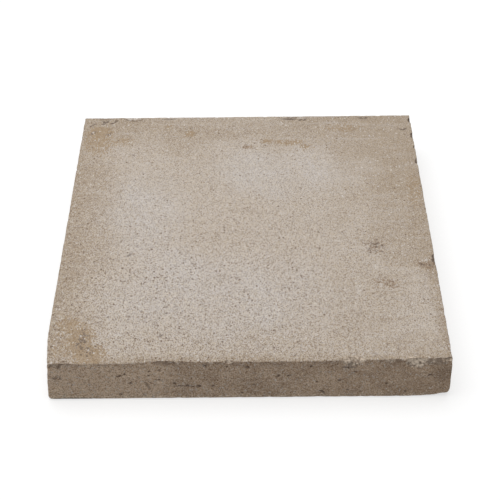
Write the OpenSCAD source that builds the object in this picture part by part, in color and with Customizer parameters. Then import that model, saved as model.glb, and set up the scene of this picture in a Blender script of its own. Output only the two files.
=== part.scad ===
// Square concrete paving slab, cast in one piece, lying on its bedding face.
// Origin at the centre of the bedding face, +Z up, near side towards -Y. Millimetres.

/* [Slab] */
// Length of each side along the base, where the slab is widest
side = 300; // [250:1:600]
// Thickness between the bedding face and the walking face
thickness = 40; // [30:1:80]
// How far each side face leans in between the base and the walking face
batter = 1.5; // [0.5:0.1:4]
// Width of the eased arris up each corner
corner_arris = 1.2; // [0.3:0.1:4]
// Width of the eased arris round the walking face
top_arris = 0.6; // [0.2:0.1:3]
// Width of the eased arris round the bedding face
base_arris = 1.5; // [0.5:0.1:4]

/* [Broken corners] */
// Near left corner rubbed back: reach along the near side, along the left side, downwards
left_corner_rub = [3, 23, 27]; // [1:0.5:30]
// Near right corner broken off the base: reach along the near side, along the right side, upwards
base_corner_break = [19, 9, 5]; // [2:0.5:25]

/* [Spalls in the near arris] */
// From the right-hand end to the middle of the deep spall
near_deep_at = 72; // [15:0.5:110]
// Deep spall: length along the arris, reach over the walking face, reach down the side
near_deep_spall = [18, 4, 6.5]; // [1:0.5:70]
// From the right-hand end to the middle of the steep spall
near_steep_at = 26; // [20:0.5:60]
// Steep spall: length, reach over the walking face, reach down the side
near_steep_spall = [16, 2, 8.5]; // [1:0.5:70]
// From the right-hand end to the middle of the spall that runs out at the corner
near_corner_at = 12; // [0:0.5:20]
// Spall that runs out at the corner: length, reach over the walking face, reach down the side
near_corner_spall = [44, 1.5, 5]; // [1:0.5:70]
// From the left-hand end to the middle of the shallow spall
near_shallow_at = 87.5; // [15:0.5:110]
// Shallow spall: length, reach over the walking face, reach down the side
near_shallow_spall = [18, 1, 4]; // [1:0.5:70]
// From the left-hand end to the middle of the spall by the rubbed corner
near_end_at = 11; // [0:0.5:20]
// Spall by the rubbed corner: length, reach over the walking face, reach down the side
near_end_spall = [24, 1.5, 6]; // [1:0.5:70]

/* [Spalls in the right arris] */
// From the left-hand end to the middle of the wider notch
right_notch_at = 105; // [15:0.5:115]
// Wider notch: length, reach over the walking face, reach down the side
right_notch = [15, 2.5, 3]; // [1:0.5:70]
// From the right-hand end to the middle of the narrower notch
right_nick_at = 30; // [15:0.5:115]
// Narrower notch: length, reach over the walking face, reach down the side
right_nick = [9, 1.5, 3]; // [1:0.5:70]

/* [Spalls in the far arris] */
// From the right-hand end to the middle of the spall by the corner
far_corner_at = 20; // [0:0.5:30]
// Spall by the corner: length, reach over the walking face, reach down the side
far_corner_spall = [23, 5, 1]; // [1:0.5:70]
// From the right-hand end to the middle of the shallow spall
far_shallow_at = 45; // [35:0.5:110]
// Shallow spall: length, reach over the walking face, reach down the side
far_shallow_spall = [18, 3, 1]; // [1:0.5:70]
// From the left-hand end to the middle of the long spall
far_long_at = 105.5; // [60:0.5:120]
// Long spall: length, reach over the walking face, reach down the side
far_long_spall = [23, 4, 1]; // [1:0.5:70]
// From the left-hand end to the middle of the notch
far_notch_at = 42.5; // [15:0.5:50]
// Notch: length, reach over the walking face, reach down the side
far_notch = [9, 2, 1]; // [1:0.5:70]

/* [Hidden] */
$fn = 96;

// Turns about Z that bring the near, right and far sides into place
NEAR = 0;
RIGHT = 90;
FAR = 180;

// Ends of an arris, seen from outside the slab
LEFT_END = -1;
RIGHT_END = 1;

top_side = side - 2 * batter;

// Upright section across the slab: flat faces, battered sides, eased arrises
module section(base_width, top_width) {
    lean = (base_width - top_width) / 2 / thickness;
    right_half = [
        [base_width / 2 - base_arris, 0],
        [base_width / 2 - lean * base_arris, base_arris],
        [top_width / 2 + lean * top_arris, thickness - top_arris],
        [top_width / 2 - top_arris, thickness],
    ];
    left_half = [for (i = [len(right_half) - 1 : -1 : 0]) [-right_half[i].x, right_half[i].y]];
    polygon(concat(right_half, left_half));
}

// The section carried well past both ends of the slab, across the given direction
module section_bar(turn, base_width, top_width) {
    rotate([90, 0, turn])
        linear_extrude(2 * side, center = true) section(base_width, top_width);
}

// Slab as cast: what its sections across the sides and from corner to corner have in common
module cast_slab() {
    intersection() {
        section_bar(0, side, top_side);
        section_bar(90, side, top_side);
        section_bar(45, sqrt(2) * side - corner_arris, sqrt(2) * top_side - corner_arris);
        section_bar(135, sqrt(2) * side - corner_arris, sqrt(2) * top_side - corner_arris);
    }
}

// Everything beyond a plane, given by a point on it and the normal that points away from the slab
module beyond(point, normal) {
    translate(point)
        rotate([0, acos(normal.z / norm(normal)), atan2(normal.y, normal.x)])
            translate([-side, -side, 0]) cube(2 * side);
}

// Waste of the near left corner, rubbed back by a steep plane
module left_corner_waste() {
    beyond(
        point = [left_corner_rub.x - top_side / 2, -top_side / 2, thickness],
        normal = [-1 / left_corner_rub.x, -1 / left_corner_rub.y, 1 / left_corner_rub.z]
    );
}

// Waste of the near right corner of the base, broken off by a slanting plane
module base_corner_waste() {
    beyond(
        point = [side / 2, -side / 2, base_corner_break.z],
        normal = [1 / base_corner_break.x, -1 / base_corner_break.y, -1 / base_corner_break.z]
    );
}

// Scoop of one spall, with the arris along X, the side face towards -Y and the walking face up.
// The ball passes through both ends of the spall on the arris and its furthest reach on each face.
module scoop(length, over_top, down_side) {
    half = length / 2;
    out = (half * half - over_top * over_top) / (2 * over_top);
    up = (half * half - down_side * down_side) / (2 * down_side);
    translate([0, -out, up]) sphere(r = norm([half, out, up]));
}

// Scoop of a spall, set on the arris of the side that the turn brings into place
module spall(turn, end, at, sizes) {
    rotate(turn)
        translate([end * (top_side / 2 - at), -top_side / 2, thickness])
            scoop(length = sizes[0], over_top = sizes[1], down_side = sizes[2]);
}

module slab() {
    color("#b8aa9c")
        difference() {
            cast_slab();
            left_corner_waste();
            base_corner_waste();
            spall(NEAR, RIGHT_END, near_deep_at, near_deep_spall);
            spall(NEAR, RIGHT_END, near_steep_at, near_steep_spall);
            spall(NEAR, RIGHT_END, near_corner_at, near_corner_spall);
            spall(NEAR, LEFT_END, near_shallow_at, near_shallow_spall);
            spall(NEAR, LEFT_END, near_end_at, near_end_spall);
            spall(RIGHT, LEFT_END, right_notch_at, right_notch);
            spall(RIGHT, RIGHT_END, right_nick_at, right_nick);
            spall(FAR, RIGHT_END, far_corner_at, far_corner_spall);
            spall(FAR, RIGHT_END, far_shallow_at, far_shallow_spall);
            spall(FAR, LEFT_END, far_long_at, far_long_spall);
            spall(FAR, LEFT_END, far_notch_at, far_notch);
        }
}

slab();
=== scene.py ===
"""Looks of a square concrete paving slab: worn arrises, spalls, blow holes, sandy grain and stains.

The slab lies on z = 0 with its walking face up and its near side towards -Y.
Lengths are millimetres until the mesh is made.
"""

import itertools
import math
from collections import namedtuple

import bpy
import numpy as np
from mathutils import Matrix, Vector

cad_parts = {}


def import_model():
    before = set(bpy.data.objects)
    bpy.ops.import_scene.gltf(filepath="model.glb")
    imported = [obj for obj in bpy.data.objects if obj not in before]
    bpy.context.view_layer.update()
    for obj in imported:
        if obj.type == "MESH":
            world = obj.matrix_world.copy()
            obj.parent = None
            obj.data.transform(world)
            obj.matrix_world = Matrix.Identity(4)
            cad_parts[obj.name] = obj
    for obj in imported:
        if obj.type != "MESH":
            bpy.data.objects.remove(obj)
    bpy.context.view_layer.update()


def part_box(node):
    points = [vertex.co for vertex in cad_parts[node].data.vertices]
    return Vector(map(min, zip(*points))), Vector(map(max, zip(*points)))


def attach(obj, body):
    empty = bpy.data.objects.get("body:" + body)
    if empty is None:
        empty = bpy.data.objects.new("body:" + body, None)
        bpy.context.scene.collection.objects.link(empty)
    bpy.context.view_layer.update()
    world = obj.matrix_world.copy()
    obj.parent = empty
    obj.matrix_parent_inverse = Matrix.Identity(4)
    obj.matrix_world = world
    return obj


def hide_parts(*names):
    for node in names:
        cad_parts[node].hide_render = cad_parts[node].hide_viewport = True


MM = 0.001

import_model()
slab_low, slab_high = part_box("slab")

# Slab
BASE_SIDE = (slab_high.x - slab_low.x) / MM
THICKNESS = (slab_high.z - slab_low.z) / MM
BATTER = 1.5
TOP_SIDE = BASE_SIDE - 2 * BATTER
TOP_ARRIS = 0.6
BASE_ARRIS = 1.5
ARRIS_WEAR = 0.35
WEAR_SIZE = 30

# Swell of the walking face and pitting of the sides: depth and size
SWELL_DEPTH = 0.2
SWELL_SIZE = 50
PITTING_DEPTH = 0.35
PITTING_SIZE = 7

# Dips of the walking face along the near arris: middle, half length and depth
NEAR_DIPS = [
    (-148, 86, 1.6),
    (7, 62, 0.8),
]

# Where along Y the dips start and are full, the share of the half length beyond which they run out,
# and the share of the thickness that they leave alone
DIP_START = -115
DIP_FULL = -146
DIP_FLAT = 0.6
DIP_ROOT = 0.5

# Mesh: fine steps in a band along the arrises, wider ones between, then thinned to the triangle budget
FINE_STEP = 0.45
FINE_BAND = 9.0
WIDE_STEP = 0.75
UPRIGHT_STEP = 0.5
TRIANGLES = 190_000
MASK_EDGE = 0.05
SHARP_ANGLE = 40

# Chance: the seeds of the noises, the numbers that scatter a lattice cell, and the strength of the noise
SEED = 11
SWELL_SEED = SEED + 1
PITTING_SEED = SEED + 2
CRUMB_SEED = SEED + 20
CORNER_SEED = SEED + 30
DENT_SEED = SEED + 40
HASH_X = 374761393
HASH_Y = 668265263
HASH_Z = 1442695041
HASH_SEED = 974711
HASH_TURN = 1274126177
HASH_BITS = 0xFFFFFFFF
NOISE_GAIN = 1.8
OCTAVES = 3

# Directions, the outward direction of each side, and the ends of the near side
ALONG_X = (1, 0, 0)
ALONG_Y = (0, 1, 0)
UPRIGHT = (0, 0, 1)
SIDES = {"near": (0, -1), "right": (1, 0), "far": (0, 1), "left": (-1, 0)}
LEFT_END = -1
RIGHT_END = 1

# Spalls of the upper arrises: middle along the side, length, reach over the top, reach down the side,
# how pale the break is, how far it is painted dark for dirt and shade, how far its low crumbs are
# painted dark for soot and shadow, how much painted shade darkens its lower edge, and how far its middle
# stands out
SPALL_FIELDS = "side middle length over_top down_side fresh dirt soot shade bulge"
Spall = namedtuple("Spall", SPALL_FIELDS, defaults=(0.0, 0.0, 0.0, 0.0, 0.0))
SPALLS = [
    Spall("near", 76.5, 18, 4, 6.5, fresh=1.0, shade=0.55, bulge=1.3),
    Spall("near", 122.5, 16, 2, 8.5, fresh=1.0),
    Spall("near", 136.5, 44, 1.5, 5, fresh=0.4, dirt=0.2, shade=0.5),
    Spall("near", -61, 18, 1, 4, dirt=0.45),
    Spall("near", -137.5, 24, 0.8, 6, fresh=0.25, dirt=0.1),
    Spall("near", -14.5, 7, 2.5, 3, fresh=0.7),
    Spall("near", 139, 5.4, 1.8, 2.4, dirt=0.8),
    Spall("near", 146, 6, 2.2, 2.8, dirt=0.9),
    Spall("right", -140, 14, 0.7, 3, dirt=1.0, soot=0.6),
    Spall("right", -43.5, 15, 2.5, 3, dirt=1.0, soot=0.5),
    Spall("right", 117.5, 9, 2.2, 3, dirt=1.0, soot=0.9),
    Spall("right", 140.7, 9, 2.2, 3, dirt=1.0, soot=0.9),
    Spall("right", 101, 5, 1.6, 2, dirt=1.0, soot=0.7),
    Spall("right", 80.3, 10, 2.2, 3, dirt=1.0, soot=0.9),
    Spall("far", -128.5, 23, 5, 0.6, dirt=0.2),
    Spall("far", -103.5, 18, 3, 0.6, fresh=0.9),
    Spall("far", 43, 23, 4, 0.6, dirt=0.5),
    Spall("far", 106, 9, 2, 0.6, dirt=0.5),
]

# Crumbs of the breaks: most relief, most relief as a share of the spall's reach, size,
# strength of each finer octave, level of the scoop among the crumbs, and how much smoother a pale top is
SPALL_ROUGHNESS = 1.4
ROUGHNESS_SHARE = 0.45
CRUMB_SIZE = 2.7
CRUMB_FALL = 0.7
CRUMB_LEVEL = 0.7
PALE_SMOOTHNESS = 0.4

# Masks of the breaks: depth at which no skin is left, growth and start of the lower part,
# shelter of the painted crevice shade of an old break, level and softness of the painted crevice shade,
# what the painted shade of the lower edge adds to that level, and the level of the painted soot and
# shadow
SKIN_DEPTH = 0.3
LOW_GROWTH = 2
LOW_START = 0.25
OLD_SHELTER = 0.6
CREVICE_LEVEL = 0.66
CREVICE_SOFTNESS = 0.3
SHADE_LEVEL = 0.45
SOOT_AND_SHADOW_LEVEL = 1.5

# Chance nicks of each upper arris: count, lengths, reaches as shares of the length, and most paleness
NICKS = 24
NICK_LENGTHS = (2, 6)
NICK_OVER_TOP = (0.1, 0.2)
NICK_DOWN_SIDE = 0.3
FAR_NICK_DOWN_SIDE = 0.15
NICK_PALE = 0.3

# Ragged stretches of the near arris: start, end and count of extra nicks
RAGGED = [
    (-146, -128, 6),
    (-72, -48, 7),
    (86, 117, 12),
    (128, 147, 8),
]

# Nicks of the ragged stretches: lengths, reaches as shares of the length, paleness, and dirt with
# painted shade
RAGGED_LENGTHS = (2, 5)
RAGGED_OVER_TOP = (0.1, 0.25)
RAGGED_DOWN_SIDE = (0.3, 0.7)
RAGGED_PALE = (0.0, 0.0, 0.8)
RAGGED_DIRT_AND_SHADE = 0.5

# Near corners worn by a plane: end, at the top or the base, reach along X, along Y and upright, softness
WornCorner = namedtuple("WornCorner", "end at_top along_x along_y upright softness")
WORN_CORNERS = [
    WornCorner(LEFT_END, True, 3, 23, 27, 0.5),
    WornCorner(RIGHT_END, False, 18, 8.5, 4.5, 1.2),
    WornCorner(RIGHT_END, False, 3, 14, 8, 0.5),
    WornCorner(LEFT_END, False, 2.5, 2.5, 9, 0.5),
]
CORNER_ROUGHNESS = 0.4
CORNER_GRAIN = 4

# Blow holes of the near side: place, length, width, lean of the length from level, and how dark their
# painted shade is
BlowHole = namedtuple("BlowHole", "x z length width lean dark", defaults=(1.0,))
BLOW_HOLES = [
    BlowHole(-135.8, 36.6, 10, 1.6, 35, 0.55),
    BlowHole(-143.9, 35.4, 3.6, 1.4, 46, 0.55),
    BlowHole(-138, 34, 4, 1.4, 30, 0.7),
    BlowHole(-95, 24.5, 4.5, 1.8, 15),
    BlowHole(-90.5, 26.5, 2, 1.8, 0),
    BlowHole(-87, 17, 2.6, 2, 30),
    BlowHole(-72.5, 29.5, 1.8, 1.6, 0),
    BlowHole(-73, 25, 1.8, 1.6, 0),
    BlowHole(-65, 30.5, 1.8, 1.4, 20),
    BlowHole(-65.5, 20.5, 2, 1.6, 0),
    BlowHole(-54.5, 16.5, 2.6, 2, 0),
    BlowHole(-95, 5, 2.6, 2, 0),
    BlowHole(-74.5, 14, 11, 1.8, -65, 0.6),
    BlowHole(-44.5, 14, 3.6, 1.4, -60),
    BlowHole(-41, 13, 2, 1.4, 0),
    BlowHole(-36.5, 13, 3, 2.6, 0),
    BlowHole(-31.5, 35, 4, 1.8, -20),
    BlowHole(-26, 13.5, 2.4, 1.6, 20),
    BlowHole(-15.5, 34, 2.4, 1.4, 30),
    BlowHole(-0.5, 33, 3.2, 2.8, 40),
    BlowHole(-4.5, 6, 2, 1.6, 0),
    BlowHole(4, 14.5, 1.8, 1.6, 0),
    BlowHole(22, 23.5, 4, 2, 45),
    BlowHole(29.5, 23.5, 1.8, 1.4, 0),
    BlowHole(46, 33.5, 2.2, 1.6, 0),
    BlowHole(50.5, 17, 1.8, 1.4, 0),
    BlowHole(55, 6, 6, 1.9, -50),
    BlowHole(67, 18, 2.4, 1.6, 25),
    BlowHole(78.5, 27.5, 2, 1.4, 0),
    BlowHole(73.5, 8, 2.2, 1.6, 0),
    BlowHole(83, 6, 1.8, 1.4, 0),
    BlowHole(102, 14.5, 1.8, 1.6, 0),
    BlowHole(116.5, 5.5, 2.8, 1.4, -70),
    BlowHole(133, 23, 3, 1.8, 30),
]

# Depth of a blow hole as a share of its width, and the width that its rim adds
HOLE_DEPTH = 0.6
HOLE_RIM = 0.5

# Dents: how many half widths and how far from the surface points are moved, and the ragged edge
DENT_REACH = 2
DENT_BAND = 3
DENT_RAGGED = 0.4
DENT_RAGGED_SIZE = 1.5

# Pits and grooves of the walking face: place, length, width, lean of the length from X,
# depth and how dark their painted shade is
Pit = namedtuple("Pit", "x y length width lean depth dark")
PITS = [
    Pit(-100, 93, 3, 2.5, 0, 0.6, 0.7),
    Pit(-128, 35, 2, 1.6, 0, 0.5, 0.8),
    Pit(-140, 16, 2, 1.6, 0, 0.5, 0.8),
    Pit(-94.4, -35.3, 7, 2.6, 44, 0.5, 0.8),
    Pit(-64.3, -122.6, 4.4, 2, 35, 0.5, 0.9),
    Pit(-68, -1, 2, 1.6, 0, 0.5, 0.7),
    Pit(9, 14, 2, 1.4, 0, 0.4, 0.6),
    Pit(76, -85.5, 2.4, 1.8, 0, 0.5, 0.6),
    Pit(110, -138, 2.4, 2, 0, 0.5, 0.7),
    Pit(-130.5, 142.2, 4.0, 2.6, -30, 0.7, 1.0),
    Pit(-130.6, 139.4, 4.6, 2.3, 26, 0.7, 1.0),
    Pit(-127.7, 142.2, 5.8, 2.3, 58, 0.7, 1.0),
    Pit(-123, 140.1, 4.4, 2.3, 19, 0.7, 1.0),
    Pit(-119.7, 143, 6.6, 2.3, 55, 0.7, 1.0),
    Pit(-141.4, 136.4, 5.4, 2.0, 48, 0.6, 0.8),
    Pit(-138.4, 138.9, 4.0, 2.0, 29, 0.6, 0.8),
    Pit(-109.5, 145.2, 6.4, 1.8, -20, 0.5, 0.8),
    Pit(-103.8, 143.5, 7.4, 1.8, -6, 0.5, 0.8),
    Pit(-97.9, 144.7, 6.8, 1.8, 22, 0.5, 0.8),
    Pit(-71.5, 145.6, 15, 2.2, 0, 0.5, 0.7),
    Pit(38.5, 144.2, 17, 3.4, -2, 0.7, 0.9),
    Pit(48.5, 142.8, 5.0, 2.2, 45, 0.7, 1.0),
    Pit(52.6, 143.4, 5.6, 2.2, 50, 0.7, 1.0),
    Pit(103.9, 144.8, 5.4, 2.4, -16, 0.7, 1.0),
    Pit(108.4, 145, 5.0, 2.4, 23, 0.7, 1.0),
    Pit(138.8, 127, 5.0, 2.2, -34, 0.6, 1.0),
    Pit(142.2, 127.6, 5.6, 2.2, 48, 0.6, 1.0),
]

# Larger pinholes of the walking face: places, and the length, width, depth and darkness of painted shade
# they share
PIN_PLACES = [
    (-106.5, -40.5), (-98.5, -50.5), (-111.5, -55.5), (-116.5, -56.5), (-92, -61), (-79.5, -62.5),
    (-97, -65.5), (-103, -84.5), (-94.5, -85.5), (-90, -88), (-80.5, -97), (-104.5, -93),
    (-109, -94), (-111, -98), (-105, -103), (-99, -105.5), (-90, -106), (-66.5, -104.5),
    (-62.5, -93.5), (-62, -100), (-58, -104.5), (-55.5, -90.5), (-54.5, -93), (-49.5, -97.5),
    (-110.5, -130.5), (-97, -132), (-72, -131.5), (-36, -129.5), (-38, -50.5), (-42.5, -63.5),
    (-61, -73.5),
]
PIN_LENGTH = 1.9
PIN_WIDTH = 0.8 * PIN_LENGTH
PIN_DEPTH = 0.5
PIN_DARK = 0.9

# Scaled patches of the walking face: middle, spread along X and Y, and count of their pits
ScaledPatch = namedtuple("ScaledPatch", "x y spread_x spread_y pits")
SCALED_PATCHES = [
    ScaledPatch(103.3, -27, 4, 5, 34),
    ScaledPatch(140.5, -50, 2.5, 1.5, 7),
]
SCALED_PIT_WIDTHS = (1.0, 2.2)
SCALED_PIT_DEPTH = 0.35

# Camera, from the slab's middle on the walking face
LENS = 81.12
SENSOR = 36
AZIMUTH = 0.265
ELEVATION = 43.039
ROLL = -0.710
DISTANCE = 923.7
OFFSET_RIGHT = 2.05
OFFSET_UP = -21.0
NEAREST_SEEN = 10

# Stage, in metres: floor, light from all round and soft lamp overhead
FLOOR_HALF = 3.0
FLOOR_DROP = 0.3 * MM
FLOOR_GREY = (0.45, 0.45, 0.45, 1.0)
FLOOR_GLOW = 0.62
WHITE = (1, 1, 1, 1)
SKY_LIGHT = 0.45
SKY_SHOWN = 1.0
LAMP_SIZE = 1.4
LAMP_ENERGY = 13.2
LAMP_PLACE = (-0.2, 0.1, 1.3)


def srgb(red, green, blue):
    """Linear colour of three 8-bit display values."""
    shares = [value / 255 for value in (red, green, blue)]
    linear = [s / 12.92 if s <= 0.04045 else ((s + 0.055) / 1.055) ** 2.4 for s in shares]
    return (*linear, 1.0)


# Walking face
PALE = srgb(199, 191, 184)
WARM = srgb(193, 181, 168)
BORDER = srgb(168, 151, 131)

# Sides
SIDE_PALE = srgb(209, 185, 160)
SIDE_BROWN = srgb(160, 135, 111)
SIDE_DARK = srgb(123, 102, 84)
FLECK = srgb(248, 229, 204)

# Grain and breaks, with the painted shade of pinholes, pores, crevices and hollows
GRAIN_DARK = srgb(165, 150, 136)
GRAIN_COOL = (1.0, 1.04, 1.14, 1.0)
GRAIN_WARM = (1.0, 0.96, 0.86, 1.0)
GRAIN_LIGHT = srgb(222, 216, 209)
GRAIN_SIZE = 0.45
GRAIN_STRETCH = (1.0, 0.75, 1.0)
STAIN_GRAIN = 1.0
# Painted shade of the pinholes of the walking face
PINHOLE_SHADE = srgb(110, 90, 73)
FRESH = srgb(231, 215, 196)
FRESH_DULL = srgb(170, 152, 134)
# Old breaks and small chips: dirt and painted shade
DIRT_AND_SHADE = srgb(136, 118, 102)
# Painted shade of pores, crevices and hollows, and of soot in old breaks
PAINTED_SHADE = srgb(92, 78, 68)

# Heights between which the paint turns to that of the sides whatever the slope, and the slopes
SIDE_HEIGHTS = (THICKNESS - 1.8, THICKNESS - 3.2)
SIDE_SLOPES = (0.8, 0.35)

# Noises of the paint: size, detail and, where it is not the usual one, roughness
MOTTLE = (30, 4.0, 0.6)
BORDER_NOISE = (28, 3.0)
STREAKS = (50, 2.0)
UNDER_ARRIS_DARKENING = (3.5, 3.0)
BASE_CRUMBS = (1.8, 1.0)
CROWDING = (14, 2.0)
OLD_PATCHES = (2.5, 2.0)
FRESH_CRUMBS = (2.0, 1.0)
LUMPS = (2, 3.0, 0.65)

# Ranges of those noises, from and to, then what they turn into where that is not 0 and 1
TOP_MOTTLE = (0.3, 0.7, 0.4, 1.0)
SIDE_MOTTLE = (0.35, 0.65, 0.2, 0.7)
LIGHT_STREAKS = (0.5, 0.8)
DARK_STREAKS = (0.5, 0.2)
UNDER_ARRIS_DARKENING_RANGE = (0.38, 0.62)
BASE_CRUMB_RANGE = (0.52, 0.6)
CROWDING_RANGE = (0.4, 0.65, 0.4, 1.6)
OLD_PATCH_RANGE = (0.35, 0.6, 0.3, 1.0)
FRESH_CRUMB_RANGE = (0.36, 0.56)

# Noise that bends the outlines of zones and of stains: size, and how far it moves them
BEND_DETAIL = 4.0
ZONE_BEND = (25, 30)
STAIN_BEND = (9, 8)

# Zones: depth below and above the walking face, and the share of the half widths that is whole
ZONE_DEPTH = 50
ZONE_EDGE = 0.3

# Paler zones of the walking face: middle, then half widths
PALE_ZONES = [
    ((-90, 12), (52, 78)),
    ((28, 70), (78, 50)),
    ((-20, -85), (122, 66)),
    ((-60, -48), (50, 35)),
]

# Toned zones of the walking face: colour, middle, half widths and strength
TONED_ZONES = [
    (BORDER, (88, -82), (48, 62), 0.25),
    (BORDER, (104, 108), (48, 34), 0.55),
    (BORDER, (20, -148), (150, 55), 0.25),
    (BORDER, (128, -142), (48, 24), 0.5),
    (BORDER, (119, -42), (18, 16), 0.5),
    (BORDER, (-70, 62), (80, 40), 0.06),
    (WARM, (-15, 148), (100, 24), 0.55),
]

# Width of the brown border along each side of the walking face, and where along Y
# and to what share of its width the right-hand one narrows
BORDER_WIDTHS = {"near": 10, "right": 95, "far": 68, "left": 50}
BORDER_STRENGTH = 0.85
RIGHT_NARROWING = (-75, 10)
RIGHT_NARROW_SHARE = 0.12

# Trowel streaks: stretch, where along X and Y they grow, least growth and strength
STREAK_STRETCH = (1, 9, 1)
STREAKED_X = (20, 110)
STREAKED_Y = (50, 120)
LEAST_STREAKED = 0.25
STREAK_STRENGTH = 0.4

# Ends of the near side that are paler or browner: where they grow, and strength
PALE_END_X = (-40, -70)
PALE_END_Y = (-130, -145)
PALE_END_STRENGTH = 0.75
BROWN_END_X = (70, 150)
BROWN_END_STRENGTH = 0.4

# Darker band under the upper arris and crumbs at the base: heights between which they grow, and strength
UNDER_ARRIS_DARKENING_HEIGHTS = (31, 39)
UNDER_ARRIS_DARKENING_STRENGTH = 0.6
BASE_CRUMB_HEIGHTS = (6, 2)
BASE_CRUMB_STRENGTH = 0.8

# Specks: the least strength of any, and the spacing, radius, share and strength of each kind
FAINTEST_SPECK = 0.35
FLECKS = (2.4, 0.9, 0.6)
FLECK_STRENGTH = 0.45
# Pores are painted dark as their shade
PORES = (4.3, 1.1, 0.35)
PORE_STRENGTH = 0.8

# Small pinholes, painted dark as their shade: spacing, radius, the zone where most lie, its share of
# them and the share elsewhere
PINHOLE_SPACING = 3.2
PINHOLE_RADIUS = 0.95
PINHOLE_ZONE = ((-50, -75), (125, 95))
PINHOLE_ZONE_SHARE = 0.16
PINHOLE_SHARE = 0.03

# Sand grain: its strength along Y and X, on caked places and on the sides, the tones of dark and light
# grains, and how strong light grains and the hue of the grains are
GRAIN_ALONG_Y = (130, -100, 0.55, 0.8)
GRAIN_ALONG_X = (130, 20, 0.0, 0.2)
CAKED_GRAIN = 0.6
SIDE_GRAIN = 1.25
DARK_TONES = (0.45, 0.0)
LIGHT_TONES = (0.55, 1.0)
LIGHT_STRENGTH = 0.45
SIDE_LIGHT = 0.7
SIDE_HUE = 0.3

# Strength of the colours of the breaks: dirt and painted shade of old breaks, paleness of fresh ones,
# painted shade of crevices and of hollows
OLD_STRENGTH = 0.7
FRESH_STRENGTH = 0.9
CREVICE_SHADE_STRENGTH = 0.65
HOLLOW_SHADE_STRENGTH = 0.75

# Finish: bump of the grains and of the lumps, strength and height of both, and the gloss
GRAIN_BUMP = 0.3
LUMP_BUMP = 0.6
BUMP_STRENGTH = 0.6
BUMP_HEIGHT = 0.6
ROUGHNESS = 0.93
SPECULAR = 0.25

# Stains: tint, place and half widths along X, and upwards on the near side or along Y
# on the walking face, and the share of the grains that are stained in the middle
Stain = namedtuple("Stain", "face tint across up half_across half_up cover")
TINTS = {
    "ochre": (srgb(164, 143, 117), 0.95),
    "brown": (srgb(148, 126, 104), 0.8),
    # Dark marks, also laid on as painted shadow under the base edge and under the deep chip
    "soot": (srgb(112, 98, 88), 0.75),
    "pale": (srgb(210, 203, 195), 0.7),
    # Pale marks, also laid on as a painted highlight along the near arris
    "cream_and_highlight": (srgb(232, 210, 182), 0.6),
}
STAINS = [
    Stain("top", "ochre", -134, -112, 15, 15, 0.9),
    Stain("top", "ochre", -124, -126, 15, 20, 1.6),
    Stain("top", "ochre", -117, -140, 20, 16, 1.5),
    Stain("top", "ochre", -138, -132, 14, 22, 0.35),
    Stain("top", "soot", -122.5, -127, 6, 17, 0.55),
    Stain("top", "soot", -116, -138, 5, 11, 0.45),
    Stain("top", "ochre", -133, 126, 17, 14, 1.5),
    Stain("top", "ochre", -132, 110, 20, 26, 0.7),
    Stain("top", "ochre", -111, 113, 14, 9, 0.6),
    Stain("top", "soot", -138, 125, 4, 5, 0.7),
    Stain("top", "soot", -125.5, 123.5, 4, 5, 0.7),
    Stain("top", "ochre", 18, 111.5, 11, 7, 0.9),
    Stain("top", "ochre", 36, 109.5, 20, 7, 0.85),
    Stain("top", "ochre", 52, 103, 9, 6, 0.8),
    Stain("top", "ochre", 87, 131, 24, 10, 0.55),
    Stain("top", "brown", 0, 103, 9, 5, 0.9),
    Stain("top", "ochre", -51, 122, 8, 7, 0.9),
    Stain("top", "ochre", -72, 135, 8, 4, 0.6),
    Stain("top", "brown", 103, -27, 12, 15, 0.6),
    Stain("top", "brown", 108, -70, 15, 9, 0.6),
    Stain("top", "brown", 141, -49, 12, 10, 1.0),
    Stain("top", "ochre", 141, 45, 10, 40, 0.45),
    Stain("top", "pale", 139.5, -44, 4, 3, 0.8),
    Stain("top", "pale", 85.5, -75, 4, 11, 0.7),
    Stain("top", "pale", 101, -52, 5, 6, 0.5),
    Stain("top", "pale", 50.5, 145, 3, 1.6, 0.9),
    Stain("top", "pale", -103.5, 147, 9, 3, 1.3),
    Stain("top", "pale", 140.5, 129.5, 1.6, 1.4, 0.9),
    Stain("near", "soot", -140, 23.5, 8, 6, 0.25),
    Stain("near", "soot", -142.8, 23.3, 3, 2.4, 0.9),
    Stain("near", "soot", -138, 23.3, 2, 3.6, 0.9),
    # Painted shadow of the gap under the base edge
    Stain("near", "soot", -129, 0.9, 22, 1.8, 3.0),
    # Painted shadow under the deep chip
    Stain("near", "soot", 74.5, 32.6, 9, 1.8, 1.5),
    Stain("near", "soot", -50, 14, 18, 1.2, 0.9),
    # Painted highlight along the near arris
    Stain("near", "cream_and_highlight", -104, 38.6, 16, 1.2, 1.5),
    Stain("near", "cream_and_highlight", -108, 34.1, 1.4, 3.2, 1.2),
    Stain("near", "cream_and_highlight", -103.2, 31.4, 1.2, 2.4, 1.1),
    Stain("near", "cream_and_highlight", -117.2, 37.2, 1.3, 2.6, 1.1),
    Stain("near", "cream_and_highlight", -141, 11.5, 5, 4, 0.6),
    Stain("near", "cream_and_highlight", -134.5, 3.6, 9, 1.2, 0.8),
    Stain("near", "cream_and_highlight", -66, 27, 9, 4, 0.3),
    Stain("near", "cream_and_highlight", -55, 12, 9, 5, 0.25),
    Stain("near", "cream_and_highlight", 90, 13, 6, 5, 0.3),
    Stain("near", "cream_and_highlight", 122, 33, 5, 6, 0.55),
    Stain("near", "cream_and_highlight", 131, 27, 8, 5, 0.3),
    Stain("near", "cream_and_highlight", 2, 23.7, 8, 1.4, 1.2),
    Stain("near", "brown", 143, 25, 11, 14, 1.0),
    Stain("near", "brown", 2, 20, 20, 11, 0.5),
]

# Reach of a stain below its face, the share of its half widths that is whole, and its softness
TOP_STAIN_DEPTH = 5
NEAR_STAIN_DEPTH = 60
STAIN_EDGE = 0.2
STAIN_SOFTNESS = 0.08


# Shape

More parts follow.
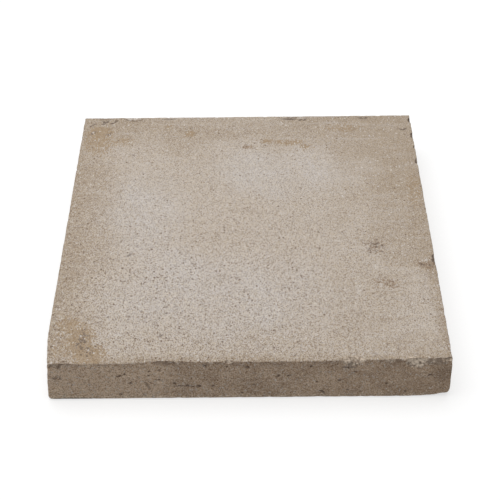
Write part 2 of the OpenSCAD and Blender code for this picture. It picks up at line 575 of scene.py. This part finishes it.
def spread(length):
    """Places along one side of the slab: fine steps near both ends, wider ones between."""
    fine = np.arange(0, FINE_BAND, FINE_STEP)
    wide_count = round((length - 2 * FINE_BAND) / WIDE_STEP)
    wide = np.linspace(FINE_BAND, length - FINE_BAND, wide_count + 1)
    return np.concatenate([fine, wide, length - fine[::-1]]) - length / 2


def box_lattice(counts):
    """Quads over the outside of a lattice box: the lattice points and the four corners of each quad."""
    quads = []
    for axis in range(3):
        across, along = (axis + 1) % 3, (axis + 2) % 3
        u, v = np.meshgrid(np.arange(counts[across]), np.arange(counts[along]), indexing="ij")
        for level in (0, counts[axis]):
            corners = []
            for step_u, step_v in ((0, 0), (1, 0), (1, 1), (0, 1)):
                corner = np.empty((u.size, 3), dtype=np.int64)
                corner[:, axis] = level
                corner[:, across] = u.ravel() + step_u
                corner[:, along] = v.ravel() + step_v
                corners.append(corner)
            if level == 0:
                corners.reverse()
            quads.append(np.stack(corners, axis=1))
    quads = np.concatenate(quads)
    row = counts[0] + 1
    sheet = row * (counts[1] + 1)
    keys, numbers = np.unique(quads @ np.array([1, row, sheet]), return_inverse=True)
    points = np.stack([keys % row, keys % sheet // row, keys // sheet], axis=1)
    return points, numbers.reshape(-1, 4)


def hashed(cells, seed):
    """Repeatable chance number between -1 and 1 for each lattice cell."""
    x, y, z = cells.T
    mixed = (x * HASH_X + y * HASH_Y + z * HASH_Z + seed * HASH_SEED) & HASH_BITS
    mixed = ((mixed ^ (mixed >> 13)) * HASH_TURN) & HASH_BITS
    return ((mixed ^ (mixed >> 16)) & 0xFFFF) / 0x7FFF - 1


def noise(points, size, seed):
    """Smooth noise, mostly between -1 and 1, with features of the given size."""
    cell = points / size
    corner = np.floor(cell).astype(np.int64)
    share = cell - corner
    fade = share * share * (3 - 2 * share)
    total = np.zeros(len(points))
    for step in itertools.product((0, 1), repeat=3):
        weight = np.prod(np.where(step, fade, 1 - fade), axis=1)
        slopes = np.stack([hashed(corner + step, 3 * seed + axis) for axis in range(3)], axis=1)
        total += weight * np.sum(slopes * (share - step), axis=1)
    return NOISE_GAIN * total


def rough(points, size, seed):
    """Noise with finer and weaker octaves on top."""
    return sum(noise(points, size / 2**n, seed + n) / 2**n for n in range(OCTAVES))


def ramp(values, start, end):
    """Smooth step from 0 at the start to 1 at the end."""
    share = np.clip((values - start) / (end - start), 0, 1)
    return share * share * (3 - 2 * share)


def rounded_box(points):
    """Points of the box drawn in to round arrises of uneven width, and the way out at each point."""
    height = points[:, 2] / THICKNESS
    wear = np.maximum(rough(points, WEAR_SIZE, SEED), 0) * ARRIS_WEAR
    radius = TOP_ARRIS * height + BASE_ARRIS * (1 - height) + wear
    low = np.array([-BASE_SIDE / 2, -BASE_SIDE / 2, 0]) + radius[:, None]
    high = np.array([BASE_SIDE / 2, BASE_SIDE / 2, THICKNESS]) - radius[:, None]
    inner = np.clip(points, low, high)
    outward = points - inner
    outward /= np.linalg.norm(outward, axis=1)[:, None]
    return inner + outward * radius[:, None], outward


def side_point(side, middle, height):
    """Point on the upper arris line of a side, carried to a height."""
    outward = np.array(SIDES[side])
    along = np.abs(outward[::-1])
    return np.array([*(outward * TOP_SIDE / 2 + along * middle), height])


def crumbs(points):
    """Crumbly relief of a break: near 0 in a crevice, about 1 on a lump."""
    return sum(
        np.abs(noise(points, CRUMB_SIZE / 2**n, CRUMB_SEED + n)) * CRUMB_FALL**n
        for n in range(OCTAVES)
    )


def standing_out(spall, offset, distance, up, radius):
    """How far the middle of a scoop stands out, from 0 at its edges to 1."""
    angle = np.arcsin(-offset[:, 2] / distance)
    highest, lowest = (math.asin(drop / radius) for drop in (up, up + spall.down_side))
    proud = np.sin(math.pi * np.clip((angle - highest) / (lowest - highest), 0, 1))
    along = np.array([*np.abs(SIDES[spall.side][::-1]), 0])
    sideways = np.abs(offset @ along) / (spall.length / 2)
    return proud * np.clip(1 - sideways**2, 0, 1)


def break_masks(spall, cut, depth, lumps):
    """How pale a break is, how far it is painted dark for dirt and shade, and the painted shade of its
    crevices and hollows, at points of a depth below the walking face.
    """
    low_down = np.clip(depth / spall.down_side * LOW_GROWTH - LOW_START, 0, 1)
    sheltered = OLD_SHELTER + spall.fresh * (low_down - OLD_SHELTER)
    crevice_level = CREVICE_LEVEL + SHADE_LEVEL * spall.shade * low_down**3
    return {
        "fresh": cut * spall.fresh,
        "dirt": cut * spall.dirt,
        "crevice_shade": cut * sheltered * np.clip((crevice_level - lumps) / CREVICE_SOFTNESS, 0, 1),
        "hollow_shade": cut * spall.soot * np.clip(SOOT_AND_SHADOW_LEVEL - lumps, 0, 1),
    }


def scoop(points, spall, masks):
    """Cuts one spall: pushes the points inside a crumbly ball out to its surface, but none upwards."""
    half = spall.length / 2
    out = (half**2 - spall.over_top**2) / (2 * spall.over_top)
    up = (half**2 - spall.down_side**2) / (2 * spall.down_side)
    centre = side_point(spall.side, spall.middle, THICKNESS) + np.array([*SIDES[spall.side], 0]) * out
    centre[2] += up
    radius = math.hypot(half, out, up)
    offset = points - centre
    distance = np.linalg.norm(offset, axis=1)
    near = distance < radius + SPALL_ROUGHNESS
    offset = offset[near]
    distance = distance[near]
    height = points[near, 2]
    lumps = crumbs(points[near])
    reach = min(SPALL_ROUGHNESS, ROUGHNESS_SHARE * min(spall.over_top, spall.down_side))
    high_up = np.clip(1 - 2 * (THICKNESS - height) / spall.down_side, 0, 1)
    relief = reach * (1 - PALE_SMOOTHNESS * spall.fresh * high_up) * (CRUMB_LEVEL - lumps)
    proud = standing_out(spall, offset, distance, up, radius)
    moved = np.maximum(radius + relief - spall.bulge * proud - distance, 0)
    points[near] += offset * (moved / distance)[:, None]
    points[near, 2] = np.minimum(points[near, 2], height)
    cut = np.clip(moved / SKIN_DEPTH, 0, 1)
    for name, value in break_masks(spall, cut, THICKNESS - points[near, 2], lumps).items():
        masks[name][near] = np.maximum(masks[name][near], value)


def nicks(generator):
    """Small chance nicks of the upper arrises, and more of them along the ragged stretches."""
    for side in SIDES:
        for _ in range(NICKS):
            middle = generator.uniform(-TOP_SIDE / 2, TOP_SIDE / 2)
            length = generator.uniform(*NICK_LENGTHS)
            over_top = length * generator.uniform(*NICK_OVER_TOP)
            down_side = length * (FAR_NICK_DOWN_SIDE if side == "far" else NICK_DOWN_SIDE)
            pale = generator.uniform(0, NICK_PALE)
            yield Spall(side, middle, length, over_top, down_side, fresh=pale, dirt=1 - pale)
    for start, end, count in RAGGED:
        for _ in range(count):
            middle = generator.uniform(start, end)
            length = generator.uniform(*RAGGED_LENGTHS)
            over_top = length * generator.uniform(*RAGGED_OVER_TOP)
            down_side = length * generator.uniform(*RAGGED_DOWN_SIDE)
            pale = generator.choice(RAGGED_PALE)
            dirt = RAGGED_DIRT_AND_SHADE * (1 - pale)
            yield Spall("near", middle, length, over_top, down_side, fresh=pale, dirt=dirt)


def wear_corner(points, worn):
    """Wears one near corner back to a plane that meets its three edges at the given reaches."""
    half = (TOP_SIDE if worn.at_top else BASE_SIDE) / 2
    upright = worn.upright if worn.at_top else -worn.upright
    start = np.array([worn.end * half, -half, THICKNESS if worn.at_top else 0])
    start[0] -= worn.end * worn.along_x
    normal = 1 / np.array([worn.end * worn.along_x, -worn.along_y, upright])
    normal /= np.linalg.norm(normal)
    uneven = CORNER_ROUGHNESS * rough(points, CORNER_GRAIN, CORNER_SEED)
    beyond = (points - start) @ normal + uneven
    moved = worn.softness * np.logaddexp(0, beyond / worn.softness)
    points -= normal * moved[:, None]


def dent(points, outward, place, axes, depth, dark, hollow_shade):
    """Presses a rough-edged bowl into the surface and paints shade into it; axes are the half widths as
    vectors in its plane.
    """
    offset = points - place
    reach = sum((offset @ axis / (axis @ axis)) ** 2 for axis in axes)
    normal = np.cross(*axes)
    near = (reach < DENT_REACH**2) & (np.abs(offset @ normal) < DENT_BAND * np.linalg.norm(normal))
    ragged = 1 + DENT_RAGGED * noise(points[near], DENT_RAGGED_SIZE, DENT_SEED)
    bowl = np.sqrt(np.maximum(1 - reach[near] * ragged, 0))
    points[near] -= outward[near] * (depth * bowl)[:, None]
    hollow_shade[near] = np.maximum(hollow_shade[near], dark * bowl)


def turned_axes(run, rise, length, width, lean):
    """Half widths of a dent as vectors, its length turned from one direction towards another."""
    turn = math.radians(lean)
    along = math.cos(turn) * np.array(run) + math.sin(turn) * np.array(rise)
    across = math.cos(turn) * np.array(rise) - math.sin(turn) * np.array(run)
    return along * length / 2, across * width / 2


def scaled_pits(generator):
    """Small pits crowded into the scaled patches."""
    for patch in SCALED_PATCHES:
        for _ in range(patch.pits):
            x, y = generator.normal((patch.x, patch.y), (patch.spread_x, patch.spread_y))
            length, width = generator.uniform(*SCALED_PIT_WIDTHS, 2)
            yield Pit(x, y, length, width, 0, SCALED_PIT_DEPTH, 1.0)


def slab_shape():
    """Points and quads of the weathered slab, with masks of its broken places and of the painted shade
    in its crevices and hollows.
    """
    level = spread(BASE_SIDE)
    upright = np.linspace(0, THICKNESS, round(THICKNESS / UPRIGHT_STEP) + 1)
    lattice, quads = box_lattice([len(level) - 1, len(level) - 1, len(upright) - 1])
    box = np.stack([level[lattice[:, 0]], level[lattice[:, 1]], upright[lattice[:, 2]]], axis=1)
    points, outward = rounded_box(box)
    points[:, :2] *= 1 - (2 * BATTER / BASE_SIDE * points[:, 2] / THICKNESS)[:, None]
    on_side = np.linalg.norm(outward[:, :2], axis=1)
    on_top = np.maximum(outward[:, 2], 0)
    swell = SWELL_DEPTH * (1 + noise(points, SWELL_SIZE, SWELL_SEED)) / 2 * on_top
    pitted = PITTING_DEPTH * np.maximum(rough(points, PITTING_SIZE, PITTING_SEED), 0) * on_side
    dip = sum(
        depth * ramp(np.abs(points[:, 0] - middle), half, DIP_FLAT * half)
        for middle, half, depth in NEAR_DIPS
    )
    dip *= ramp(points[:, 1], DIP_START, DIP_FULL)
    points -= outward * (swell + pitted)[:, None]
    points[:, 2] -= dip * ramp(points[:, 2], DIP_ROOT * THICKNESS, THICKNESS)

    masks = {name: np.zeros(len(points)) for name in ("fresh", "dirt", "crevice_shade", "hollow_shade")}
    for worn in WORN_CORNERS:
        wear_corner(points, worn)
    generator = np.random.default_rng(SEED)
    for spall in [*SPALLS, *nicks(generator)]:
        scoop(points, spall, masks)
    for hole in BLOW_HOLES:
        place = side_point("near", hole.x, hole.z)
        length = hole.length + HOLE_RIM
        width = hole.width + HOLE_RIM
        axes = turned_axes(ALONG_X, UPRIGHT, length, width, hole.lean)
        dent(points, outward, place, axes, HOLE_DEPTH * hole.width, hole.dark, masks["hollow_shade"])
    pins = [Pit(x, y, PIN_LENGTH, PIN_WIDTH, 0, PIN_DEPTH, PIN_DARK) for x, y in PIN_PLACES]
    for pit in [*PITS, *pins, *scaled_pits(generator)]:
        place = np.array([pit.x, pit.y, THICKNESS])
        axes = turned_axes(ALONG_X, ALONG_Y, pit.length, pit.width, pit.lean)
        dent(points, outward, place, axes, pit.depth, pit.dark, masks["hollow_shade"])
    return points, quads, masks


def mesh_object(name, points, quads, masks):
    """Object of the points, thinned to the triangle budget everywhere but in the masked places."""
    dense = bpy.data.meshes.new(name + "_dense")
    dense.vertices.add(len(points))
    dense.vertices.foreach_set("co", (points * MM).astype(np.float32).ravel())
    dense.loops.add(quads.size)
    dense.loops.foreach_set("vertex_index", quads.astype(np.int32).ravel())
    dense.polygons.add(len(quads))
    dense.polygons.foreach_set("loop_start", np.arange(0, quads.size, 4, dtype=np.int32))
    dense.update(calc_edges=True)
    for mask_name, values in masks.items():
        mask = dense.attributes.new(mask_name, "FLOAT", "POINT")
        mask.data.foreach_set("value", values.astype(np.float32))
    carrier = bpy.data.objects.new(name + "_dense", dense)
    bpy.context.scene.collection.objects.link(carrier)
    plain = np.max(list(masks.values()), axis=0) < MASK_EDGE
    group = carrier.vertex_groups.new(name="plain")
    group.add(np.flatnonzero(plain).tolist(), 1.0, "REPLACE")
    thin = carrier.modifiers.new("thin", "DECIMATE")
    thin.vertex_group = group.name
    thin.ratio = TRIANGLES / (2 * len(quads))
    evaluated = carrier.evaluated_get(bpy.context.evaluated_depsgraph_get())
    mesh = bpy.data.meshes.new_from_object(evaluated)
    mesh.name = name
    bpy.data.objects.remove(carrier)
    bpy.data.meshes.remove(dense)
    mesh.polygons.foreach_set("use_smooth", np.ones(len(mesh.polygons), dtype=bool))
    mesh.set_sharp_from_angle(angle=math.radians(SHARP_ANGLE))
    shown = bpy.data.objects.new(name, mesh)
    bpy.context.scene.collection.objects.link(shown)
    return shown


# Material

class Nodes:
    """Short forms for the nodes of one tree."""

    def __init__(self, tree):
        self.tree = tree

    def add(self, kind, inputs=(), **settings):
        """New node with its settings, and its inputs set or linked by number or name."""
        node = self.tree.nodes.new(kind)
        for key, value in settings.items():
            setattr(node, key, value)
        for key, value in dict(inputs).items():
            if isinstance(value, bpy.types.NodeSocket):
                self.tree.links.new(value, node.inputs[key])
            else:
                node.inputs[key].default_value = value
        return node

    def noise(self, vector, size, detail, roughness=0.5, output="Fac"):
        """Noise with features of a size in millimetres."""
        inputs = {"Vector": vector, "Scale": 1 / (size * MM), "Detail": detail, "Roughness": roughness}
        return self.add("ShaderNodeTexNoise", inputs).outputs[output]

    def math(self, operation, first, second):
        return self.add("ShaderNodeMath", {0: first, 1: second}, operation=operation).outputs[0]

    def vector(self, operation, first, second):
        return self.add("ShaderNodeVectorMath", {0: first, 1: second}, operation=operation).outputs[0]

    def split(self, vector):
        """The three numbers of a vector."""
        return self.add("ShaderNodeSeparateXYZ", {0: vector}).outputs

    def remap(self, value, low, high, to_low=0.0, to_high=1.0):
        """Smooth step from one range to another, held at both ends."""
        inputs = {"Value": value, "From Min": low, "From Max": high, "To Min": to_low, "To Max": to_high}
        node = self.add("ShaderNodeMapRange", inputs, interpolation_type="SMOOTHSTEP")
        return node.outputs["Result"]

    def along(self, length, start, end, to_start=0.0, to_end=1.0):
        """Smooth step between two places in millimetres."""
        return self.remap(length, start * MM, end * MM, to_start, to_end)

    def fade(self, mask, outside, inside):
        """One number where the mask is 0 and another where it is 1."""
        return self.remap(mask, 0.0, 1.0, outside, inside)

    def mix(self, factor, first, second, blend="MIX"):
        inputs = {0: factor, 6: first, 7: second}
        return self.add("ShaderNodeMix", inputs, data_type="RGBA", blend_type=blend).outputs[2]

    def tint(self, colour, mask, strength, second, blend="MIX"):
        """The colour turned to a second one where the mask is 1, by a share of it."""
        return self.mix(self.math("MULTIPLY", mask, strength), colour, second, blend)

    def attribute(self, name):
        return self.add("ShaderNodeAttribute", attribute_name=name).outputs["Fac"]

    def patch(self, vector, centre, radii, edge):
        """Soft mask of an ellipsoid: 1 inside a share of its radii, falling to 0 at the radii."""
        offset = self.vector("SUBTRACT", vector, [value * MM for value in centre])
        share = self.vector("DIVIDE", offset, [value * MM for value in radii])
        length = self.add("ShaderNodeVectorMath", {0: share}, operation="LENGTH").outputs["Value"]
        return self.remap(length, 1.0, edge)

    def bent(self, vector, size, reach):
        """Places moved about by noise, so that no patch keeps a drawn outline."""
        shift = self.noise(vector, size, BEND_DETAIL, output="Color")
        push = self.vector("SUBTRACT", shift, (0.5, 0.5, 0.5))
        return self.vector("ADD", vector, self.vector("MULTIPLY", push, (reach * MM, reach * MM, 0)))

    def specks(self, vector, spacing, radius, share, dimensions="3D"):
        """Round specks of a radius, some fainter than others, in a share of the cells of a scatter."""
        inputs = {"Vector": vector, "Scale": 1 / (spacing * MM)}
        cells = self.add("ShaderNodeTexVoronoi", inputs, voronoi_dimensions=dimensions)
        spot = self.remap(cells.outputs["Distance"], radius / spacing, 0.5 * radius / spacing)
        first, second, _ = self.split(cells.outputs["Color"])
        chosen = self.math("MULTIPLY", spot, self.math("LESS_THAN", first, share))
        return self.math("MULTIPLY", chosen, self.fade(second, FAINTEST_SPECK, 1.0))


def border_share(n, place):
    """How far into the brown border of the walking face a place lies, from 0 to 1."""
    x, y, _ = n.split(place)
    inset = 1.0
    for side, width in BORDER_WIDTHS.items():
        across, along = SIDES[side]
        reach = n.math("MULTIPLY", x if across else y, across + along)
        gap = n.math("SUBTRACT", TOP_SIDE / 2 * MM, reach)
        full_width = width * MM
        if side == "right":
            full_width = n.along(y, *RIGHT_NARROWING, RIGHT_NARROW_SHARE * width * MM, width * MM)
        inset = n.math("MINIMUM", inset, n.math("DIVIDE", gap, full_width))
    uneven = n.math("SUBTRACT", n.noise(place, *BORDER_NOISE), 0.5)
    return n.remap(n.math("ADD", inset, uneven), 1.0, 0.0)


def zone(n, moved, middle, half_widths):
    """Soft mask of a zone of the walking face."""
    return n.patch(moved, (*middle, THICKNESS), (*half_widths, ZONE_DEPTH), ZONE_EDGE)


def walking_face(n, place):
    """Pale mottled face with a brown border and trowel streaks."""
    x, y, _ = n.split(place)
    moved = n.bent(place, *ZONE_BEND)
    pale = 0.0
    for middle, half_widths in PALE_ZONES:
        pale = n.math("MAXIMUM", pale, zone(n, moved, middle, half_widths))
    mottle = n.remap(n.noise(place, *MOTTLE), *TOP_MOTTLE)
    colour = n.mix(n.math("MULTIPLY", pale, mottle), WARM, PALE)
    colour = n.tint(colour, border_share(n, place), BORDER_STRENGTH, BORDER)
    for tone, middle, half_widths, strength in TONED_ZONES:
        colour = n.tint(colour, zone(n, moved, middle, half_widths), strength, tone)
    streak = n.noise(n.vector("MULTIPLY", place, STREAK_STRETCH), *STREAKS)
    streaked = n.math("MAXIMUM", n.along(x, *STREAKED_X), n.along(y, *STREAKED_Y))
    streaked = n.math("MAXIMUM", streaked, LEAST_STREAKED)
    for span, tone in ((LIGHT_STREAKS, PALE), (DARK_STREAKS, BORDER)):
        mask = n.math("MULTIPLY", n.remap(streak, *span), streaked)
        colour = n.tint(colour, mask, STREAK_STRENGTH, tone)
    return colour


def side_faces(n, place):
    """Browner cast sides, paler at the near left, darker under the arris, with flecks, and with pores
    painted dark as their shade.
    """
    x, y, z = n.split(place)
    mottle = n.remap(n.noise(place, *MOTTLE), *SIDE_MOTTLE)
    colour = n.mix(mottle, SIDE_BROWN, SIDE_PALE)
    pale_end = n.math("MULTIPLY", n.along(x, *PALE_END_X), n.along(y, *PALE_END_Y))
    colour = n.tint(colour, pale_end, PALE_END_STRENGTH, SIDE_PALE)
    colour = n.tint(colour, n.along(x, *BROWN_END_X), BROWN_END_STRENGTH, SIDE_BROWN)
    ragged = n.remap(n.noise(place, *UNDER_ARRIS_DARKENING), *UNDER_ARRIS_DARKENING_RANGE)
    under_arris = n.math("MULTIPLY", n.along(z, *UNDER_ARRIS_DARKENING_HEIGHTS), ragged)
    colour = n.tint(colour, under_arris, UNDER_ARRIS_DARKENING_STRENGTH, SIDE_DARK)
    colour = n.tint(colour, n.specks(place, *FLECKS), FLECK_STRENGTH, FLECK)
    crumbly = n.remap(n.noise(place, *BASE_CRUMBS), *BASE_CRUMB_RANGE)
    at_base = n.math("MULTIPLY", n.along(z, *BASE_CRUMB_HEIGHTS), crumbly)
    colour = n.tint(colour, at_base, BASE_CRUMB_STRENGTH, FLECK)
    # Pores painted dark as their shade
    return n.tint(colour, n.specks(place, *PORES), PORE_STRENGTH, PAINTED_SHADE)


def stained(n, colour, place, on_side, chance, fine_chance):
    """The colour with every stain laid on, grain by grain, among them painted shadows and a painted
    highlight, and how far ochre covers the grain.
    """
    moved = n.bent(place, *STAIN_BEND)
    caked = 0.0
    for stain in STAINS:
        if stain.face == "top":
            middle = (stain.across, stain.up, THICKNESS)
            radii = (stain.half_across, stain.half_up, TOP_STAIN_DEPTH)
            limit = chance
        else:
            middle = (stain.across, -TOP_SIDE / 2, stain.up)
            radii = (stain.half_across, NEAR_STAIN_DEPTH, stain.half_up)
            limit = fine_chance
        cover = n.math("MULTIPLY", n.patch(moved, middle, radii, STAIN_EDGE), stain.cover)
        mask = n.remap(n.math("SUBTRACT", cover, limit), -STAIN_SOFTNESS, STAIN_SOFTNESS)
        if stain.face == "near":
            mask = n.math("MULTIPLY", mask, on_side)
        if stain.tint == "ochre":
            caked = n.math("MAXIMUM", caked, mask)
        tint, strength = TINTS[stain.tint]
        colour = n.tint(colour, mask, strength, tint)
    return colour, caked


def sanded(n, colour, place, on_side, grain, caked):
    """The colour under sand grain, strongest at the near left of the walking face and on the sides."""
    x, y, _ = n.split(place)
    tone, _, hue = n.split(grain)
    coarse = n.math("ADD", n.along(y, *GRAIN_ALONG_Y), n.along(x, *GRAIN_ALONG_X))
    coarse = n.math("MULTIPLY", coarse, n.fade(caked, 1.0, CAKED_GRAIN))
    coarse = n.math("MULTIPLY", coarse, n.fade(on_side, 1.0, SIDE_GRAIN))
    dark = n.math("MULTIPLY", n.remap(tone, *DARK_TONES), coarse)
    light = n.math("MULTIPLY", n.remap(tone, *LIGHT_TONES), coarse)
    light = n.math("MULTIPLY", light, n.fade(on_side, 1.0, SIDE_LIGHT))
    colour = n.mix(dark, colour, GRAIN_DARK, "MULTIPLY")
    colour = n.tint(colour, light, LIGHT_STRENGTH, GRAIN_LIGHT)
    hues = n.mix(hue, GRAIN_COOL, GRAIN_WARM)
    return n.mix(n.fade(on_side, 1.0, SIDE_HUE), colour, hues, "MULTIPLY")


def pinholed(n, colour, place, on_side):
    """The colour with small pinholes in the walking face painted dark as their shade, most of them at
    the near left.
    """
    pitted = zone(n, n.bent(place, *ZONE_BEND), *PINHOLE_ZONE)
    often = n.math("ADD", n.math("MULTIPLY", pitted, PINHOLE_ZONE_SHARE), PINHOLE_SHARE)
    crowded = n.remap(n.noise(place, *CROWDING), *CROWDING_RANGE)
    share = n.math("MULTIPLY", often, crowded)
    pinholes = n.specks(place, PINHOLE_SPACING, PINHOLE_RADIUS, share, "2D")
    on_top = n.math("SUBTRACT", 1.0, on_side)
    return n.mix(n.math("MULTIPLY", pinholes, on_top), colour, PINHOLE_SHADE)


def broken(n, colour, place):
    """The colour with old breaks painted dark for dirt and shade, fresh breaks pale, and painted shade
    in crevices and hollows.
    """
    patchy = n.remap(n.noise(place, *OLD_PATCHES), *OLD_PATCH_RANGE)
    # Old breaks painted dark for dirt and shade
    colour = n.tint(colour, n.math("MULTIPLY", n.attribute("dirt"), patchy), OLD_STRENGTH, DIRT_AND_SHADE)
    crumb = n.remap(n.noise(place, *FRESH_CRUMBS), *FRESH_CRUMB_RANGE)
    pale = n.mix(crumb, FRESH_DULL, FRESH)
    colour = n.tint(colour, n.attribute("fresh"), FRESH_STRENGTH, pale)
    # Painted shade in the crevices of breaks, and in blow holes, pits and sooty breaks
    colour = n.tint(colour, n.attribute("crevice_shade"), CREVICE_SHADE_STRENGTH, PAINTED_SHADE)
    return n.tint(colour, n.attribute("hollow_shade"), HOLLOW_SHADE_STRENGTH, PAINTED_SHADE)


def concrete():
    """Sandy weathered concrete."""
    material = bpy.data.materials.new("weathered_concrete")
    material.use_nodes = True
    tree = material.node_tree
    tree.nodes.clear()
    n = Nodes(tree)
    place = n.add("ShaderNodeTexCoord").outputs["Object"]
    normal = n.add("ShaderNodeNewGeometry").outputs["Normal"]
    steep = n.remap(n.split(normal)[2], *SIDE_SLOPES)
    low = n.along(n.split(place)[2], *SIDE_HEIGHTS)
    on_side = n.math("MAXIMUM", steep, low)
    stretched = n.vector("MULTIPLY", place, GRAIN_STRETCH)
    grains = n.add("ShaderNodeTexVoronoi", {"Vector": stretched, "Scale": 1 / (GRAIN_SIZE * MM)})
    tone, fine_chance, _ = n.split(grains.outputs["Color"])
    flakes = n.add("ShaderNodeTexVoronoi", {"Vector": stretched, "Scale": 1 / (STAIN_GRAIN * MM)})
    chance = n.split(flakes.outputs["Color"])[0]
    colour = n.mix(on_side, walking_face(n, place), side_faces(n, place))
    colour, caked = stained(n, colour, place, on_side, chance, fine_chance)
    colour = sanded(n, colour, place, on_side, grains.outputs["Color"], caked)
    colour = pinholed(n, colour, place, on_side)
    colour = broken(n, colour, place)
    lumps = n.math("MULTIPLY", n.noise(place, *LUMPS), LUMP_BUMP)
    height = n.math("ADD", n.math("MULTIPLY", tone, GRAIN_BUMP), lumps)
    bump = n.add("ShaderNodeBump", {
        "Height": height,
        "Strength": BUMP_STRENGTH,
        "Distance": BUMP_HEIGHT * MM,
    })
    shader = n.add("ShaderNodeBsdfPrincipled", {
        "Base Color": colour,
        "Roughness": ROUGHNESS,
        "Specular IOR Level": SPECULAR,
        "Normal": bump.outputs[0],
    })
    n.add("ShaderNodeOutputMaterial", {"Surface": shader.outputs[0]})
    return material


# Stage

def seen_directly(n):
    """1 for the rays that show a background: straight, mirrored or through glass."""
    path = n.add("ShaderNodeLightPath").outputs
    shown = n.math("MAXIMUM", path["Is Camera Ray"], path["Is Glossy Ray"])
    return n.math("MAXIMUM", shown, path["Is Transmission Ray"])


def floor():
    """Pale floor that shows white with a faint shadow, and throws little light back."""
    material = bpy.data.materials.new("floor")
    material.use_nodes = True
    tree = material.node_tree
    tree.nodes.clear()
    n = Nodes(tree)
    matte = n.add("ShaderNodeBsdfDiffuse", {"Color": FLOOR_GREY}).outputs[0]
    glow = n.add("ShaderNodeEmission", {"Color": WHITE, "Strength": FLOOR_GLOW}).outputs[0]
    white = n.add("ShaderNodeAddShader", {0: matte, 1: glow}).outputs[0]
    surface = n.add("ShaderNodeMixShader", {0: seen_directly(n), 1: matte, 2: white}).outputs[0]
    n.add("ShaderNodeOutputMaterial", {"Surface": surface})
    mesh = bpy.data.meshes.new("floor")
    signs = ((-1, -1), (1, -1), (1, 1), (-1, 1))
    corners = [(x * FLOOR_HALF, y * FLOOR_HALF, -FLOOR_DROP) for x, y in signs]
    mesh.from_pydata(corners, [], [(0, 1, 2, 3)])
    plane = bpy.data.objects.new("floor", mesh)
    mesh.materials.append(material)
    bpy.context.scene.collection.objects.link(plane)


def world():
    """Weak even light from all round, behind a white background."""
    sky = bpy.data.worlds.new("studio")
    sky.use_nodes = True
    tree = sky.node_tree
    tree.nodes.clear()
    n = Nodes(tree)
    inputs = {0: seen_directly(n), 2: SKY_LIGHT, 3: SKY_SHOWN}
    strength = n.add("ShaderNodeMix", inputs, data_type="FLOAT").outputs[0]
    light = n.add("ShaderNodeBackground", {"Color": WHITE, "Strength": strength}).outputs[0]
    n.add("ShaderNodeOutputWorld", {"Surface": light})
    bpy.context.scene.world = sky


def soft_box():
    """Large soft lamp overhead."""
    lamp = bpy.data.lights.new("soft_box", "AREA")
    lamp.shape = "SQUARE"
    lamp.size = LAMP_SIZE
    lamp.energy = LAMP_ENERGY
    box = bpy.data.objects.new("soft_box", lamp)
    box.location = LAMP_PLACE
    box.rotation_euler = (Vector((0, 0, 0)) - box.location).to_track_quat("-Z", "Y").to_euler()
    bpy.context.scene.collection.objects.link(box)


def camera():
    """Camera at the photograph's viewing angle."""
    azimuth, elevation, roll = (math.radians(angle) for angle in (AZIMUTH, ELEVATION, ROLL))
    back = Vector((
        math.sin(azimuth) * math.cos(elevation),
        -math.cos(azimuth) * math.cos(elevation),
        math.sin(elevation),
    ))
    level = Vector((math.cos(azimuth), math.sin(azimuth), 0))
    upright = back.cross(level)
    right = math.cos(roll) * level + math.sin(roll) * upright
    up = math.cos(roll) * upright - math.sin(roll) * level
    stand = Vector((0, 0, THICKNESS)) + DISTANCE * back + OFFSET_RIGHT * right + OFFSET_UP * up
    data = bpy.data.cameras.new("camera")
    data.lens = LENS
    data.sensor_width = SENSOR
    data.clip_start = NEAREST_SEEN * MM
    shown = bpy.data.objects.new("camera", data)
    shown.matrix_world = Matrix.Translation(stand * MM) @ Matrix((right, up, back)).transposed().to_4x4()
    bpy.context.scene.collection.objects.link(shown)
    bpy.context.scene.camera = shown


slab = mesh_object("weathered_slab", *slab_shape())
slab.data.materials.append(concrete())
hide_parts("slab")
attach(slab, "root")

floor()
world()
soft_box()
camera()
bpy.context.scene.view_settings.view_transform = "Standard"
